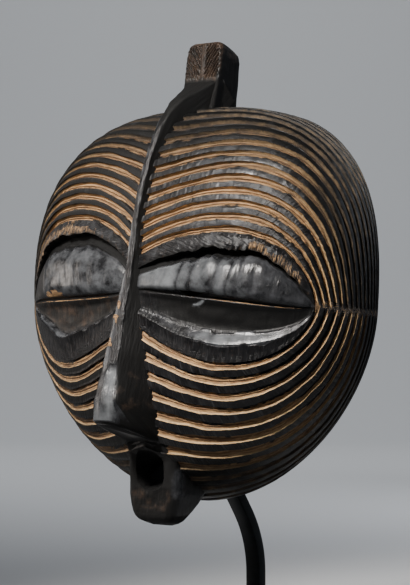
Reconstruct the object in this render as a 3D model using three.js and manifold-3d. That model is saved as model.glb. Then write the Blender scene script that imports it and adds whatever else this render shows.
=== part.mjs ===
// A carved wooden dance mask in the round kifwebe form, held up on a bent flat bar with a foot plate.
// Units are millimetres, +Z up, the face looks along -Y. The origin is the middle of the foot's underside.
// The mask is worked out in its own frame: its rim lies in the plane Y = 0 and its front points to -Y.
import * as THREE from 'three';
import { mergeVertices } from 'three/addons/utils/BufferGeometryUtils.js';
import Module from 'manifold-3d';

const wasm = await Module();
wasm.setup();

// Driving dimensions of the dome
const HALF_WIDTH = 182;
const HEIGHT_ABOVE = 181;
const HEIGHT_BELOW = 168;
const DEPTH = 111;
const WALL = 14;
const OUTLINE_ABOVE = 2.7;          // squareness of the rim's upper half
const OUTLINE_BELOW = 1.85;         // squareness of the rim's lower half
const PROFILE_ABOVE = [2.6, 3.3];   // how square the section is over the forehead
const PROFILE_BELOW = [2.8, 2.0];   // and under the cheeks

// Grooves: bands of cut wood between raised bands, nested round each eye
const GROOVES_ABOVE = 15;
const GROOVES_BELOW = 12;
const GROOVE_DEPTH = 2.8;
const GROOVE_STEPS = [[0, 0], [0.06, -1], [0.46, -0.7], [0.56, 0]];   // share of the pitch, share of the depth
const NARROW_PITCH = 5;             // a band narrower than this is cut shallower
const SEAM_HALF = 0.6;              // half the temple seam's spread at the rim, in degrees
const COLUMNS = 14;

// Eyes, in disc units: the dome's front unrolled to a disc of radius 180
const DISC = 180;
const BROW_START = 27;
const SIDES = [
  { side: 1, reach: 130, browPeak: 39, browRise: 1.7, corner: -2, slit: [8, -4.5] },    // the viewer's right
  { side: -1, reach: 114, browPeak: 49, browRise: 2.8, corner: 2, slit: [3.2, 2] },     // shorter, and set a little higher
];
const CHEEK_START = -14;
const CHEEK_PEAK = -41;
const LID_BULGE = 7;
const SOCKET_DEPTH = 6;
const SLIT_START = 6;
const SLIT_WIDTH = 2.2;
const SLIT_SPAN = [0.28, 0.9];

// Ridge and nose, top to bottom along the crest line: forward, height, half front, half foot, root depth
const RIDGE = [
  [-32, 207, 19, 20, 26],
  [-47, 196, 13, 16, 25],
  [-68, 182, 6, 9.5, 23],
  [-85, 162, 3.2, 6.5, 20],
  [-98, 134, 2.5, 6, 20],
  [-109, 95, 2.5, 6, 20],
  [-114, 52, 2.8, 7, 20],
  [-118, 14, 3.6, 15, 24],
  [-123, -20, 4.6, 23, 30],
  [-129, -54, 7, 28, 38],
  [-135, -88, 12, 28, 48],
];
const NOSTRIL = { forward: -136, height: -104, halfFront: 14.5, halfFoot: 22, rootHeight: -121, rootForward: -76 };

// Blocks carved with the dome: height, front, back, half width, how much lower the back edge is, eased corner
const CREST = [
  [172, -44, -10, 20, 0, 2],
  [200, -38, -9, 20.5, 0, 2.5],
  [226, -36.2, -9, 21, 3, 3],
  [235, -35.6, -12, 20, 4.5, 3.5],
  [239.5, -34, -17.5, 16.5, 5.5, 4],
];
const MOUTH = [
  [-98, -92, -50, 19, 0, 3],
  [-116, -86, -44, 22, 0, 4],
  [-136, -75, -38, 27, 0, 6],
  [-166, -71, -30, 28, -6, 6],
  [-180, -69.5, -42, 25.2, -3, 7],
  [-187, -66, -48, 20.5, -1, 6],
  [-191, -56, -51, 11, 0, 3],
];
const OPENING = { halfWidth: 13.5, top: -130, bottom: -160, corner: 10, from: -110, to: -30 };

// Stand: a flat bar that comes up behind the chin and rises inside the hollow, on a foot plate
const LEAN = THREE.MathUtils.degToRad(5);
const RIM_CENTRE = new THREE.Vector3(0, 15, 312);
const BAR = { width: 16, thick: 10, edge: 1.2 };
const BAR_BEND = { radius: 100, angle: THREE.MathUtils.degToRad(35), steps: 7 };
const POST = { behind: 57, bendStart: -238, insideBehind: -17, tipClear: 0.4 };
const FOOT = { width: 180, length: 200, thick: 12, corner: 10, edge: 1.5 };
const TOUCH = 0.3;

const clamp01 = (value) => Math.min(1, Math.max(0, value));
const mix = (from, to, share) => from + (to - from) * share;
const smooth = (value) => clamp01(value) ** 2 * (3 - 2 * clamp01(value));

// Dome: depth falls from the middle to the rim as a superellipse whose squareness turns with direction
const ARC_STEPS = 240;
const SHAPES = 9;

function arcTable(size, above) {
  const spread = mix(PROFILE_BELOW[0], PROFILE_ABOVE[0], above);
  const flat = mix(PROFILE_BELOW[1], PROFILE_ABOVE[1], above);
  const rows = [];
  let length = 0;
  for (let i = 0; i <= ARC_STEPS; i++) {
    const angle = (i / ARC_STEPS) * Math.PI / 2;
    const row = { reach: Math.sin(angle) ** (2 / spread), depth: size.depth * Math.cos(angle) ** (2 / flat) };
    if (i === ARC_STEPS) row.depth = 0;
    if (i > 0) {
      const last = rows[i - 1];
      length += Math.hypot((row.reach - last.reach) * size.halfWidth, row.depth - last.depth);
    }
    rows.push({ ...row, length });
  }
  return rows.map((row) => ({ reach: row.reach, depth: row.depth, share: row.length / length }));
}

function makeDome(inset) {
  const size = {
    halfWidth: HALF_WIDTH - inset,
    above: HEIGHT_ABOVE - inset,
    below: HEIGHT_BELOW - inset,
    depth: DEPTH - inset,
  };
  const tables = Array.from({ length: SHAPES }, (_, i) => arcTable(size, i / (SHAPES - 1)));
  return { size, tables };
}

function alongTable(table, share) {
  let low = 0;
  let high = ARC_STEPS;
  while (high - low > 1) {
    const middle = (low + high) >> 1;
    if (table[middle].share <= share) low = middle;
    else high = middle;
  }
  const part = clamp01((share - table[low].share) / (table[high].share - table[low].share));
  return [mix(table[low].reach, table[high].reach, part), mix(table[low].depth, table[high].depth, part)];
}

function domePoint(dome, across, up) {
  const share = Math.min(1, Math.hypot(across, up) / DISC);
  const angle = Math.atan2(up, across);
  const cos = Math.cos(angle);
  const sin = Math.sin(angle);
  const power = sin >= 0 ? OUTLINE_ABOVE : OUTLINE_BELOW;
  const height = sin >= 0 ? dome.size.above : dome.size.below;
  const radius = (Math.abs(cos / dome.size.halfWidth) ** power + Math.abs(sin / height) ** power) ** (-1 / power);
  const place = smooth(0.5 + 0.75 * sin) * (SHAPES - 1);
  const index = Math.min(SHAPES - 2, Math.floor(place));
  const first = alongTable(dome.tables[index], share);
  const second = alongTable(dome.tables[index + 1], share);
  const reach = mix(first[0], second[0], place - index);
  const depth = mix(first[1], second[1], place - index);
  return new THREE.Vector3(reach * radius * cos, -depth, reach * radius * sin);
}

// A point on the dome lifted by height along the surface normal
function lifted(dome, across, up, height) {
  const point = domePoint(dome, across, up);
  if (height === 0) return point;
  const step = 0.6;
  const inside = 1 - step / Math.max(step * 2, Math.hypot(across, up));
  const x = Math.hypot(across, up) > DISC - step ? across * inside : across;
  const y = Math.hypot(across, up) > DISC - step ? up * inside : up;
  const alongX = domePoint(dome, x + step, y).sub(domePoint(dome, x - step, y));
  const alongY = domePoint(dome, x, y + step).sub(domePoint(dome, x, y - step));
  const normal = alongX.cross(alongY).normalize();
  return point.addScaledVector(normal, height);
}

// Nested lines: each runs from the middle line over or under the eye to the temple
function eyeColumn(t, { reach }) {
  return reach * mix(t, Math.sin((t * Math.PI) / 2), 0.45);
}

function archTo(corner, peak, share) {
  return corner + (peak - corner) * (1 - Math.min(1, share) ** 2.4) ** 0.6;
}

function browLine(across, { reach, browPeak, browRise, corner }) {
  const u = across / reach;
  if (u < 0.5) return browPeak - (browPeak - BROW_START) * (1 - u / 0.5) ** browRise;
  return archTo(corner, browPeak, (u - 0.5) / 0.5);
}

function cheekLine(across, { reach, corner }) {
  const u = across / reach;
  if (u < 0.55) return CHEEK_PEAK + (CHEEK_START - CHEEK_PEAK) * (1 - u / 0.55) ** 1.5;
  return archTo(corner, CHEEK_PEAK, (u - 0.55) / 0.45);
}

function bandPlace(part, t, above) {
  const even = above ? 0.8 * part + 0.2 * part * part : part;
  const crowd = 0.6 * smooth((t - 0.1) / 0.7);
  const swell = above ? 0 : 0.4 * Math.sin(Math.PI * t);
  return 1 - (1 - even) ** (1 + crowd + swell * even);
}

function bandPoint(part, t, above, face) {
  const across = eyeColumn(t, face);
  const inner = [across, above ? browLine(across, face) : cheekLine(across, face)];
  const seam = THREE.MathUtils.radToDeg(face.corner / DISC) + (above ? SEAM_HALF : -SEAM_HALF);
  const angle = THREE.MathUtils.degToRad(above ? mix(90, seam, t) : mix(-90, seam, t));
  const outer = [DISC * Math.cos(angle), DISC * Math.sin(angle)];
  const share = bandPlace(part, t, above);
  return [mix(inner[0], outer[0], share), mix(inner[1], outer[1], share)];
}

// Surface patches, gathered as loose triangles and turned to face outwards as a whole
function patchTriangles(rows, outward) {
  const triangles = [];
  for (let i = 0; i + 1 < rows.length; i++) {
    for (let j = 0; j + 1 < rows[i].length; j++) {
      const [a, b, c, d] = [rows[i][j], rows[i][j + 1], rows[i + 1][j + 1], rows[i + 1][j]];
      triangles.push([a, b, c], [a, c, d]);
    }
  }
  return facing(triangles, outward);
}

function facing(triangles, outward) {
  const normal = new THREE.Vector3();
  const edge = new THREE.Vector3();
  const total = new THREE.Vector3();
  for (const [a, b, c] of triangles) {
    normal.subVectors(b, a).cross(edge.subVectors(c, a));
    total.add(normal);
  }
  return total.dot(outward) >= 0 ? triangles : triangles.map(([a, b, c]) => [a, c, b]);
}

function grooveRows(count) {
  const rows = [];
  for (let i = 0; i < count; i++) {
    for (const [share, depth] of GROOVE_STEPS) rows.push({ part: (i + share) / count, depth, band: i / count });
  }
  rows.push({ part: 1, depth: 0, band: 1 });
  return rows;
}

function groovePatch(dome, face, above) {
  const count = above ? GROOVES_ABOVE : GROOVES_BELOW;
  return grooveRows(count).map(({ part, depth, band }) => {
    const row = [];
    for (let j = 0; j <= COLUMNS; j++) {
      const t = j / COLUMNS;
      const [across, up] = bandPoint(part, t, above, face);
      const next = bandPoint(Math.min(1, band + 1 / count), t, above, face);
      const start = bandPoint(band, t, above, face);
      const pitch = Math.hypot(next[0] - start[0], next[1] - start[1]);
      const height = j === COLUMNS ? 0 : depth * GROOVE_DEPTH * clamp01(pitch / NARROW_PITCH);
      const point = lifted(dome, across, up, height);
      row.push(new THREE.Vector3(point.x * face.side, point.y, point.z));
    }
    return row;
  });
}

// The eye: socket scoop, slit, bulging lid, gap under the brow
function slitLine(across, { reach, corner, slit }) {
  const u = across / reach;
  const even = mix(slit[0], slit[1], u) + (SLIT_START - slit[0]) * (1 - u) ** 8;
  return mix(even, corner, u ** 12);
}

function eyePatch(dome, face) {
  const columns = [];
  for (let j = 0; j <= COLUMNS; j++) {
    const across = eyeColumn(j / COLUMNS, face);
    const u = across / face.reach;
    const brow = browLine(across, face);
    const cheek = cheekLine(across, face);
    const slit = slitLine(across, face);
    const full = j === COLUMNS ? 0 : Math.sin(Math.PI * clamp01((u - 0.02) / 0.965)) ** 0.6;
    const rimIn = 0.56 - 0.3 * clamp01(1 - u / 0.5);
    const lid = u < 0.5 ? 0.72 - 0.45 * (1 - u / 0.5) ** 2 : 0.72 - 0.15 * ((u - 0.5) / 0.5) ** 2;
    const below = (share) => mix(slit, cheek, share);
    const over = (share) => mix(slit, brow, share);
    const places = [
      [cheek, 0],
      [below(rimIn + 0.14), 0.2],
      [below(rimIn + 0.05), 1.4],
      [below(rimIn), -1],
      [below(0.3), -SOCKET_DEPTH * 0.75],
      [below(0.05), -SOCKET_DEPTH],
      [over(0.02), LID_BULGE * 0.7],
      [over(lid * 0.35), LID_BULGE],
      [over(lid * 0.72), LID_BULGE * 0.72],
      [over(lid), -0.5],
      [over(lid + 0.1), -3.5],
      [over(lid + 0.14), 1],
      [brow, 0],
    ];
    columns.push(places.map(([up, height]) => {
      const point = lifted(dome, across, up, height * full);
      return new THREE.Vector3(point.x * face.side, point.y, point.z);
    }));
  }
  return columns;
}

// Closes the wedge between two chains that start at one point and have different counts
function ladder(first, second) {
  const triangles = [];
  let i = 0;
  let j = 0;
  while (i + 1 < first.length || j + 1 < second.length) {
    const nextFirst = (i + 1) / (first.length - 1);
    const nextSecond = (j + 1) / (second.length - 1);
    if (j + 1 >= second.length || (i + 1 < first.length && nextFirst <= nextSecond)) {
      triangles.push([first[i], first[i + 1], second[j]]);
      i += 1;
    } else {
      triangles.push([first[i], second[j + 1], second[j]]);
      j += 1;
    }
  }
  return triangles;
}

// Closed solid from loose triangles
function solidFrom(triangles) {
  const positions = new Float32Array(triangles.flatMap((corners) => corners.flatMap((p) => [p.x, p.y, p.z])));
  const loose = new THREE.BufferGeometry();
  loose.setAttribute('position', new THREE.BufferAttribute(positions, 3));
  return solidOf(loose);
}

function solidOf(geometry) {
  geometry.deleteAttribute('normal');
  geometry.deleteAttribute('uv');
  const merged = mergeVertices(geometry, 1e-3);
  const kept = [];
  const index = merged.index.array;
  for (let i = 0; i < index.length; i += 3) {
    const [a, b, c] = [index[i], index[i + 1], index[i + 2]];
    if (a !== b && b !== c && c !== a) kept.push(a, b, c);
  }
  return new wasm.Manifold(new wasm.Mesh({
    numProp: 3,
    vertProperties: new Float32Array(merged.attributes.position.array),
    triVerts: new Uint32Array(kept),
  }));
}

// Closed solid through rings with equal counts, with a flat fan over each end
function loft(rings) {
  const triangles = [];
  const count = rings[0].length;
  for (let i = 0; i + 1 < rings.length; i++) {
    for (let j = 0; j < count; j++) {
      const k = (j + 1) % count;
      triangles.push([rings[i][j], rings[i][k], rings[i + 1][k]], [rings[i][j], rings[i + 1][k], rings[i + 1][j]]);
    }
  }
  const last = rings[rings.length - 1];
  for (let j = 1; j + 1 < count; j++) {
    triangles.push([rings[0][0], rings[0][j + 1], rings[0][j]], [last[0], last[j], last[j + 1]]);
  }
  let volume = 0;
  for (const [a, b, c] of triangles) volume += a.dot(new THREE.Vector3().crossVectors(b, c));
  return volume >= 0 ? triangles : triangles.map(([a, b, c]) => [a, c, b]);
}

function domeShell() {
  const dome = makeDome(0);
  const front = new THREE.Vector3(0, -1, 0);
  const triangles = [];
  for (const face of SIDES) {
    const above = groovePatch(dome, face, true);
    const below = groovePatch(dome, face, false);
    const seamAbove = above.map((row) => row[COLUMNS]);
    const seamBelow = below.map((row) => row[COLUMNS]);
    triangles.push(...patchTriangles(above, front));
    triangles.push(...patchTriangles(below, front));
    triangles.push(...patchTriangles(eyePatch(dome, face), front));
    triangles.push(...facing(ladder(seamAbove, seamBelow), new THREE.Vector3(face.side, -1, 0)));
    const rim = [...above[above.length - 1], ...below[below.length - 1].slice().reverse()];
    const back = [];
    for (let j = 0; j + 1 < rim.length; j++) back.push([rim[j], rim[j + 1], new THREE.Vector3(0, 0, 0)]);
    triangles.push(...facing(back, new THREE.Vector3(0, 1, 0)));
  }
  return solidFrom(triangles);
}

function hollow() {
  const dome = makeDome(WALL);
  const segments = 40;
  const rings = [];
  for (const share of [0.02, 0.16, 0.32, 0.47, 0.6, 0.71, 0.8, 0.88, 0.94, 1]) {
    rings.push(Array.from({ length: segments }, (_, j) => {
      const angle = (j / segments) * Math.PI * 2;
      return domePoint(dome, DISC * share * Math.cos(angle), DISC * share * Math.sin(angle));
    }));
  }
  rings.push(rings[rings.length - 1].map((point) => new THREE.Vector3(point.x, 3, point.z)));
  return solidFrom(loft(rings));
}

function ridgeAndNose() {
  const rings = RIDGE.map(([forward, height, halfFront, halfFoot, root], i) => {
    const before = RIDGE[Math.max(0, i - 1)];
    const after = RIDGE[Math.min(RIDGE.length - 1, i + 1)];
    const inward = new THREE.Vector3(0, before[1] - after[1], after[0] - before[0]).normalize().multiplyScalar(root);
    const crest = new THREE.Vector3(0, forward, height);
    const foot = crest.clone().add(inward);
    return [
      new THREE.Vector3(-halfFront, crest.y, crest.z),
      new THREE.Vector3(halfFront, crest.y, crest.z),
      new THREE.Vector3(halfFoot, foot.y, foot.z),
      new THREE.Vector3(-halfFoot, foot.y, foot.z),
    ];
  });
  const tip = NOSTRIL;
  rings.push([
    new THREE.Vector3(-tip.halfFront, tip.forward, tip.height),
    new THREE.Vector3(tip.halfFront, tip.forward, tip.height),
    new THREE.Vector3(tip.halfFoot, tip.rootForward, tip.rootHeight),
    new THREE.Vector3(-tip.halfFoot, tip.rootForward, tip.rootHeight),
  ]);
  return solidFrom(loft(rings));
}

function block(rows) {
  const rings = rows.map(([height, front, back, half, drop, ease]) => [
    new THREE.Vector3(-half + ease, front, height),
    new THREE.Vector3(half - ease, front, height),
    new THREE.Vector3(half, front + ease, height),
    new THREE.Vector3(half, back, height - drop),
    new THREE.Vector3(-half, back, height - drop),
    new THREE.Vector3(-half, front + ease, height),
  ]);
  return solidFrom(loft(rings));
}

// The mouth's hole: a slab with round corners, run from the front back into the hollow
function mouthHole() {
  const { halfWidth, top, bottom, corner, from, to } = OPENING;
  const corners = [
    [-halfWidth + corner, bottom + corner],
    [halfWidth - corner, bottom + corner],
    [halfWidth - corner, top - corner],
    [-halfWidth + corner, top - corner],
  ];
  const ring = (forward) => corners.flatMap(([x, z], quarter) => Array.from({ length: 5 }, (_, i) => {
    const angle = Math.PI + (quarter + i / 4) * Math.PI / 2;
    return new THREE.Vector3(x + corner * Math.cos(angle), forward, z + corner * Math.sin(angle));
  }));
  return solidFrom(loft([ring(from), ring(to)]));
}

function eyeSlit(face) {
  const dome = makeDome(0);
  const half = SLIT_WIDTH / 2 / (DEPTH + HALF_WIDTH) * DISC * 1.25;
  const steps = 10;
  const rings = [];
  for (let i = 0; i <= steps; i++) {
    const across = face.reach * mix(SLIT_SPAN[0], SLIT_SPAN[1], i / steps);
    const thin = half * Math.sin(Math.PI * mix(0.12, 0.9, i / steps)) ** 0.5;
    const middle = slitLine(across, face) - 0.9;
    rings.push([[thin, 16], [-thin, 16], [-thin, -26], [thin, -26]].map(([offset, height]) => {
      const point = lifted(dome, across, middle + offset, height);
      return new THREE.Vector3(point.x * face.side, point.y, point.z);
    }));
  }
  return solidFrom(loft(rings));
}

function maskSolid() {
  return domeShell()
    .add(ridgeAndNose())
    .add(block(CREST))
    .add(block(MOUTH))
    .subtract(hollow())
    .subtract(mouthHole())
    .subtract(eyeSlit(SIDES[0]))
    .subtract(eyeSlit(SIDES[1]));
}

function geometryOf(solid) {
  const mesh = solid.getMesh();
  const geometry = new THREE.BufferGeometry();
  const positions = [];
  for (let i = 0; i < mesh.vertProperties.length; i += mesh.numProp) {
    positions.push(mesh.vertProperties[i], mesh.vertProperties[i + 1], mesh.vertProperties[i + 2]);
  }
  geometry.setAttribute('position', new THREE.Float32BufferAttribute(positions, 3));
  geometry.setIndex(Array.from(mesh.triVerts));
  geometry.computeVertexNormals();
  return geometry;
}

// Bar: a rectangle with eased edges swept along a line in the plane X = 0
function barSection() {
  const { width, thick, edge } = BAR;
  const [x, y] = [width / 2, thick / 2];
  return [
    [-x, -y + edge], [-x + edge, -y], [x - edge, -y], [x, -y + edge],
    [x, y - edge], [x - edge, y], [-x + edge, y], [-x, y - edge],
  ];
}

// The bar's middle line, relative to the rim's centre, as [back, height, tilt forward]
function barLine(tipHeight) {
  const { radius, angle, steps } = BAR_BEND;
  const line = [[POST.behind, FOOT.thick + TOUCH - RIM_CENTRE.z, 0]];
  for (let i = 0; i <= steps; i++) {
    const turn = (angle * i) / steps;
    line.push([POST.behind - radius * (1 - Math.cos(turn)), POST.bendStart + radius * Math.sin(turn), turn]);
  }
  const [back, height] = line[line.length - 1];
  const straight = (back - POST.insideBehind - radius * (1 - Math.cos(angle))) / Math.tan(angle);
  const turnHeight = height + straight + radius * Math.sin(angle);
  for (let i = steps; i >= 0; i--) {
    const turn = (angle * i) / steps;
    line.push([
      POST.insideBehind + radius * (1 - Math.cos(turn)),
      turnHeight - radius * Math.sin(turn),
      turn,
    ]);
  }
  line.push([POST.insideBehind, tipHeight, 0]);
  return line;
}

// Highest point inside the hollow that the bar's flat tip can reach, seen from the rim's centre
function tipHeight() {
  const dome = makeDome(WALL);
  let lowest = Infinity;
  for (const x of [0, BAR.width / 2]) {
    for (const y of [POST.insideBehind - BAR.thick / 2, POST.insideBehind + BAR.thick / 2]) {
      for (let share = 0.5; share <= 1; share += 0.002) {
        for (let angle = 80; angle <= 90; angle += 0.5) {
          const turn = THREE.MathUtils.degToRad(angle);
          const inside = domePoint(dome, DISC * share * Math.cos(turn), DISC * share * Math.sin(turn));
          const placed = inside.applyAxisAngle(new THREE.Vector3(1, 0, 0), -LEAN);
          if (Math.abs(placed.x - x) < 2 && Math.abs(placed.y - y) < 2) lowest = Math.min(lowest, placed.z);
        }
      }
    }
  }
  return lowest - POST.tipClear;
}

function barGeometry() {
  const rings = barLine(tipHeight()).map(([back, height, turn]) => barSection().map(([x, y]) => new THREE.Vector3(
    x,
    back + y * Math.cos(turn),
    height + y * Math.sin(turn),
  )));
  return geometryOf(solidFrom(loft(rings)));
}

function footGeometry() {
  const { width, length, thick, corner, edge } = FOOT;
  const ring = (inset, height) => {
    const points = [];
    const [x, y, radius] = [width / 2 - corner, length / 2 - corner, corner - inset];
    [[x, y], [-x, y], [-x, -y], [x, -y]].forEach(([cx, cy], quarter) => {
      for (let i = 0; i <= 4; i++) {
        const angle = (quarter + i / 4) * Math.PI / 2;
        points.push(new THREE.Vector3(cx + radius * Math.cos(angle), cy + radius * Math.sin(angle), height));
      }
    });
    return points;
  };
  return geometryOf(solidFrom(loft([ring(0, 0), ring(0, thick - edge), ring(edge, thick)])));
}

function namedMesh(name, geometry, color, roughness, metalness) {
  const mesh = new THREE.Mesh(geometry, new THREE.MeshStandardMaterial({ color, roughness, metalness }));
  mesh.name = name;
  return mesh;
}

const mask = namedMesh('mask', geometryOf(maskSolid()), 0x4b423b, 0.62, 0);
mask.rotation.x = -LEAN;
mask.position.copy(RIM_CENTRE);

const bar = namedMesh('stand_rod', barGeometry(), 0x30363d, 0.5, 0.8);
bar.position.copy(RIM_CENTRE);

const foot = namedMesh('stand_foot', footGeometry(), 0x2b3036, 0.5, 0.8);

const part = new THREE.Group();
part.add(mask, bar, foot);

export default part;
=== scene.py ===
# A carved wooden dance mask in the round kifwebe form, held up on a bent flat bar with a foot plate.
# The carving is worked out in millimetres in the mask's own frame, whose rim lies in the plane Y = 0
# with the front towards -Y, and is put into the row frame in metres at the end.
import functools
import math
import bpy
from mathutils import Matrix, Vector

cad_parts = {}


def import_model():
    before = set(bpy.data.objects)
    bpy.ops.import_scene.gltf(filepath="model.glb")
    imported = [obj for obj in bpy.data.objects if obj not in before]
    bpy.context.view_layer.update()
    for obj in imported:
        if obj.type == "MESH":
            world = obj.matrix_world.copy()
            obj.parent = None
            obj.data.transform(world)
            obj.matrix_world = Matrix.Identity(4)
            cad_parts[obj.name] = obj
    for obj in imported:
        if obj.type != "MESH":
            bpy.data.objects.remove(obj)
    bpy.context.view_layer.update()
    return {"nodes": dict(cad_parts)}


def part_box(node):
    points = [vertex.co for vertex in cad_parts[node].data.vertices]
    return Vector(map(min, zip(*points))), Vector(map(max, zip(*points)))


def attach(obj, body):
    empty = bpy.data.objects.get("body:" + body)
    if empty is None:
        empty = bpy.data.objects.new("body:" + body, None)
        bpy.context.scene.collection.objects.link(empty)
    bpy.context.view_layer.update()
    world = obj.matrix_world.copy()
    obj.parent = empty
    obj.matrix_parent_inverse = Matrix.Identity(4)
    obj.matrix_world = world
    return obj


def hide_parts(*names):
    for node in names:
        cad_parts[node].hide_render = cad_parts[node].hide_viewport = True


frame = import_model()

from types import SimpleNamespace

import bmesh
import bpy
import numpy as np
from mathutils import Vector
from mathutils.kdtree import KDTree

MM = 0.001
rod_low, rod_high = (np.array(corner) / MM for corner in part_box("stand_rod"))

# Placing of the mask on its stand
LEAN = math.radians(5)
RIM_CENTRE = np.array([0, 15, 312])

# Camera: the photograph is taken from the viewer's right, level with the mask
IMAGE_WIDTH, IMAGE_HEIGHT = 410, 585
VIEW_AZIMUTH, VIEW_ELEVATION = math.radians(41), math.radians(-0.6)
VIEW_DISTANCE = 1960
FOCAL_PIXELS = 2182
RIM_CENTRE_PIXEL = (215.1, 313.0)
SENSOR = 36

# Dome
HALF_WIDTH = 182
HEIGHT_ABOVE = 181
HEIGHT_BELOW = 168
DEPTH = 111
WALL = 14
OUTLINE_ABOVE = 2.7
OUTLINE_BELOW = 1.85
PROFILE_ABOVE = (2.6, 3.3)
PROFILE_BELOW = (2.8, 2.0)
ARC_STEPS = 240
SHAPES = 9                   # sections between the chin's and the forehead's
DISC = 180                   # radius of the flat disc that the face's lines are drawn on

# Grooves, each cut by two passes of a gouge: share of the way over a groove, or over the band beyond it, and
# share of the groove's depth
COLUMNS = 110
GROOVES_ABOVE = 15
GROOVES_BELOW = 12
GROOVE_DEPTH = 2.8
DEPTH_BELOW = 0.72           # the cheeks are cut shallower
CUT_ABOVE = 0.56
CUT_BELOW = 0.52
OVER_STEPS = [
    (0, 0), (0.07, -0.5), (0.2, -0.8), (0.36, -0.92), (0.48, -0.62), (0.6, -0.98), (0.88, -1.1), (0.95, -0.9),
]
UNDER_STEPS = [
    (0, 0), (0.04, -0.8), (0.09, -1.1), (0.34, -0.98),
    (0.48, -0.6), (0.6, -0.92), (0.84, -0.75), (0.94, -0.3),
]
BAND_STEPS = [(0, 0.08), (0.5, 0.14)]
NARROW_PITCH = 5             # narrower grooves are cut less deep
SEAM_HALF = 0.6              # degrees on each side of the temple's seam
BAND_LENGTH = 230
CLOSEST_ROWS = 4e-4          # rows crowd towards the rim and never meet: share of the band field's width

# Eyes, in disc units
BROW_START = 27
SIDES = [
    SimpleNamespace(side=1, reach=130, brow_peak=39, brow_rise=1.7, corner=-2, slit=(8, -4.5), seed=10),
    SimpleNamespace(side=-1, reach=114, brow_peak=49, brow_rise=2.8, corner=2, slit=(3.2, 2), seed=20),
]
CHEEK_START = -14
CHEEK_PEAK = -41
LID_BULGE = 7
SOCKET_DEPTH = 6
SLIT_START = 6
SLIT_WIDTH = 2.2
SLIT_SPAN = (0.28, 0.9)

# Ridge and nose: forward, height, half front, half foot, root depth
RIDGE = np.array([
    (-32, 207, 19, 20, 26),
    (-47, 196, 13, 16, 25),
    (-68, 182, 6, 9.5, 23),
    (-85, 162, 3.2, 6.5, 20),
    (-98, 134, 2.5, 6, 20),
    (-109, 95, 2.5, 6, 20),
    (-114, 52, 2.8, 7, 20),
    (-118, 14, 3.6, 15, 24),
    (-123, -20, 4.6, 23, 30),
    (-129, -54, 7, 28, 38),
    (-135, -88, 12, 28, 48),
], dtype=float)
NOSTRIL = SimpleNamespace(
    forward=-136, height=-104, half_front=13.5,
    half_foot=22, root_height=-121, root_forward=-76,
)

# Blocks: height, front, back, half width, how much lower the back edge is, eased corner
CREST = [
    (172, -44, -10, 20, 0, 2),
    (200, -38, -9, 20.5, 0, 2.5),
    (226, -36.2, -9, 21, 3, 3),
    (233, -35.8, -11, 20.6, 4, 3.5),
    (237.5, -35.2, -14.5, 18.8, 5, 4),
    (239.7, -33.5, -18, 15.5, 5.5, 4),
]
MOUTH = [
    (-98, -92, -50, 19, 0, 3),
    (-116, -86, -44, 22, 0, 4),
    (-136, -75, -38, 27, 0, 6),
    (-166, -71, -30, 28, -6, 6),
    (-175, -70, -37, 26.6, -4, 7),
    (-180, -69.5, -42, 25.2, -3, 7),
    (-184.5, -68.5, -46, 23, -2, 7),
    (-187.5, -65, -48, 20, -1, 6),
    (-189.8, -59, -50, 15, 0, 5),
    (-191, -55, -51, 10, 0, 1.2),
]
OPENING = SimpleNamespace(
    half_width=13.5, top=-130, bottom=-160, corner=10, front=-110, face=-71, back=-30,
)

# Bar, as in the solids
BAR = SimpleNamespace(width=16, thick=10, edge=1.2)
BEND = SimpleNamespace(radius=100, angle=math.radians(35), steps=18)
POST = SimpleNamespace(behind=57, bend_start=-238, inside_behind=-17)

# Marks carried by every carved point and read by the wood's material. Lane counts grooves: a whole number
# where one starts, a half where its band starts. Raw is how much of a groove is bare wood. The burnish mark
# holds polish and painted highlights; the grime mark holds dirt and painted shade, and above 1 deep painted
# shade. Along and across are millimetres in a band's own frame
MARKS = ("lane", "raw", "burnish", "brown", "grime", "inside", "along", "across")

LINE_VALUES, SURFACE_VALUES = 1024, 128     # random values before the noise repeats
NORMAL_STEP = 0.6            # disc units between the points that give the surface's normal
SAME_POINT = 1e-6            # metres


def clamp01(value):
    return np.clip(value, 0, 1)


def mix(first, second, share):
    return first + (second - first) * share


def smooth(value):
    share = clamp01(value)
    return share * share * (3 - 2 * share)


def past(value, start, over):
    """0 up to start, then smoothly up to 1 over a distance."""
    return smooth((value - start) / over)


def until(value, end, over):
    """1, then smoothly down to 0 at end over a distance."""
    return smooth((end - value) / over)


def near(value, centre, half):
    """1 at the centre, 0 from half a width on."""
    return smooth(1 - np.abs(value - centre) / half)


def most(*values):
    """The greatest of several values, point by point."""
    return functools.reduce(np.maximum, values)


def wander(seed, along, step):
    """Smooth seeded noise between -1 and 1, with a new value every step."""
    values = np.random.RandomState(seed).uniform(-1, 1, LINE_VALUES)
    place = np.asarray(along, dtype=float) / step
    index = np.floor(place).astype(int)
    share = smooth(place - index)
    return mix(values[index % LINE_VALUES], values[(index + 1) % LINE_VALUES], share)


def dimples(seed, first, second, step_first, step_second):
    """The same on a surface."""
    values = np.random.RandomState(seed).uniform(-1, 1, (SURFACE_VALUES, SURFACE_VALUES))
    a = np.asarray(first, dtype=float) / step_first
    b = np.asarray(second, dtype=float) / step_second
    i, j = np.floor(a).astype(int), np.floor(b).astype(int)
    low, high = (
        mix(values[i % SURFACE_VALUES, k], values[(i + 1) % SURFACE_VALUES, k], smooth(a - i))
        for k in (j % SURFACE_VALUES, (j + 1) % SURFACE_VALUES)
    )
    return mix(low, high, smooth(b - j))


def in_row_frame(points):
    """Points of the mask's own frame, leaning back on its stand, in metres."""
    x, y, z = points[..., 0], points[..., 1], points[..., 2]
    sin, cos = math.sin(LEAN), math.cos(LEAN)
    return (np.stack([x, y * cos + z * sin, z * cos - y * sin], -1) + RIM_CENTRE) * MM


def placed(name, data):
    """A new object in the scene."""
    made = bpy.data.objects.new(name, data)
    bpy.context.scene.collection.objects.link(made)
    return made


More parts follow.
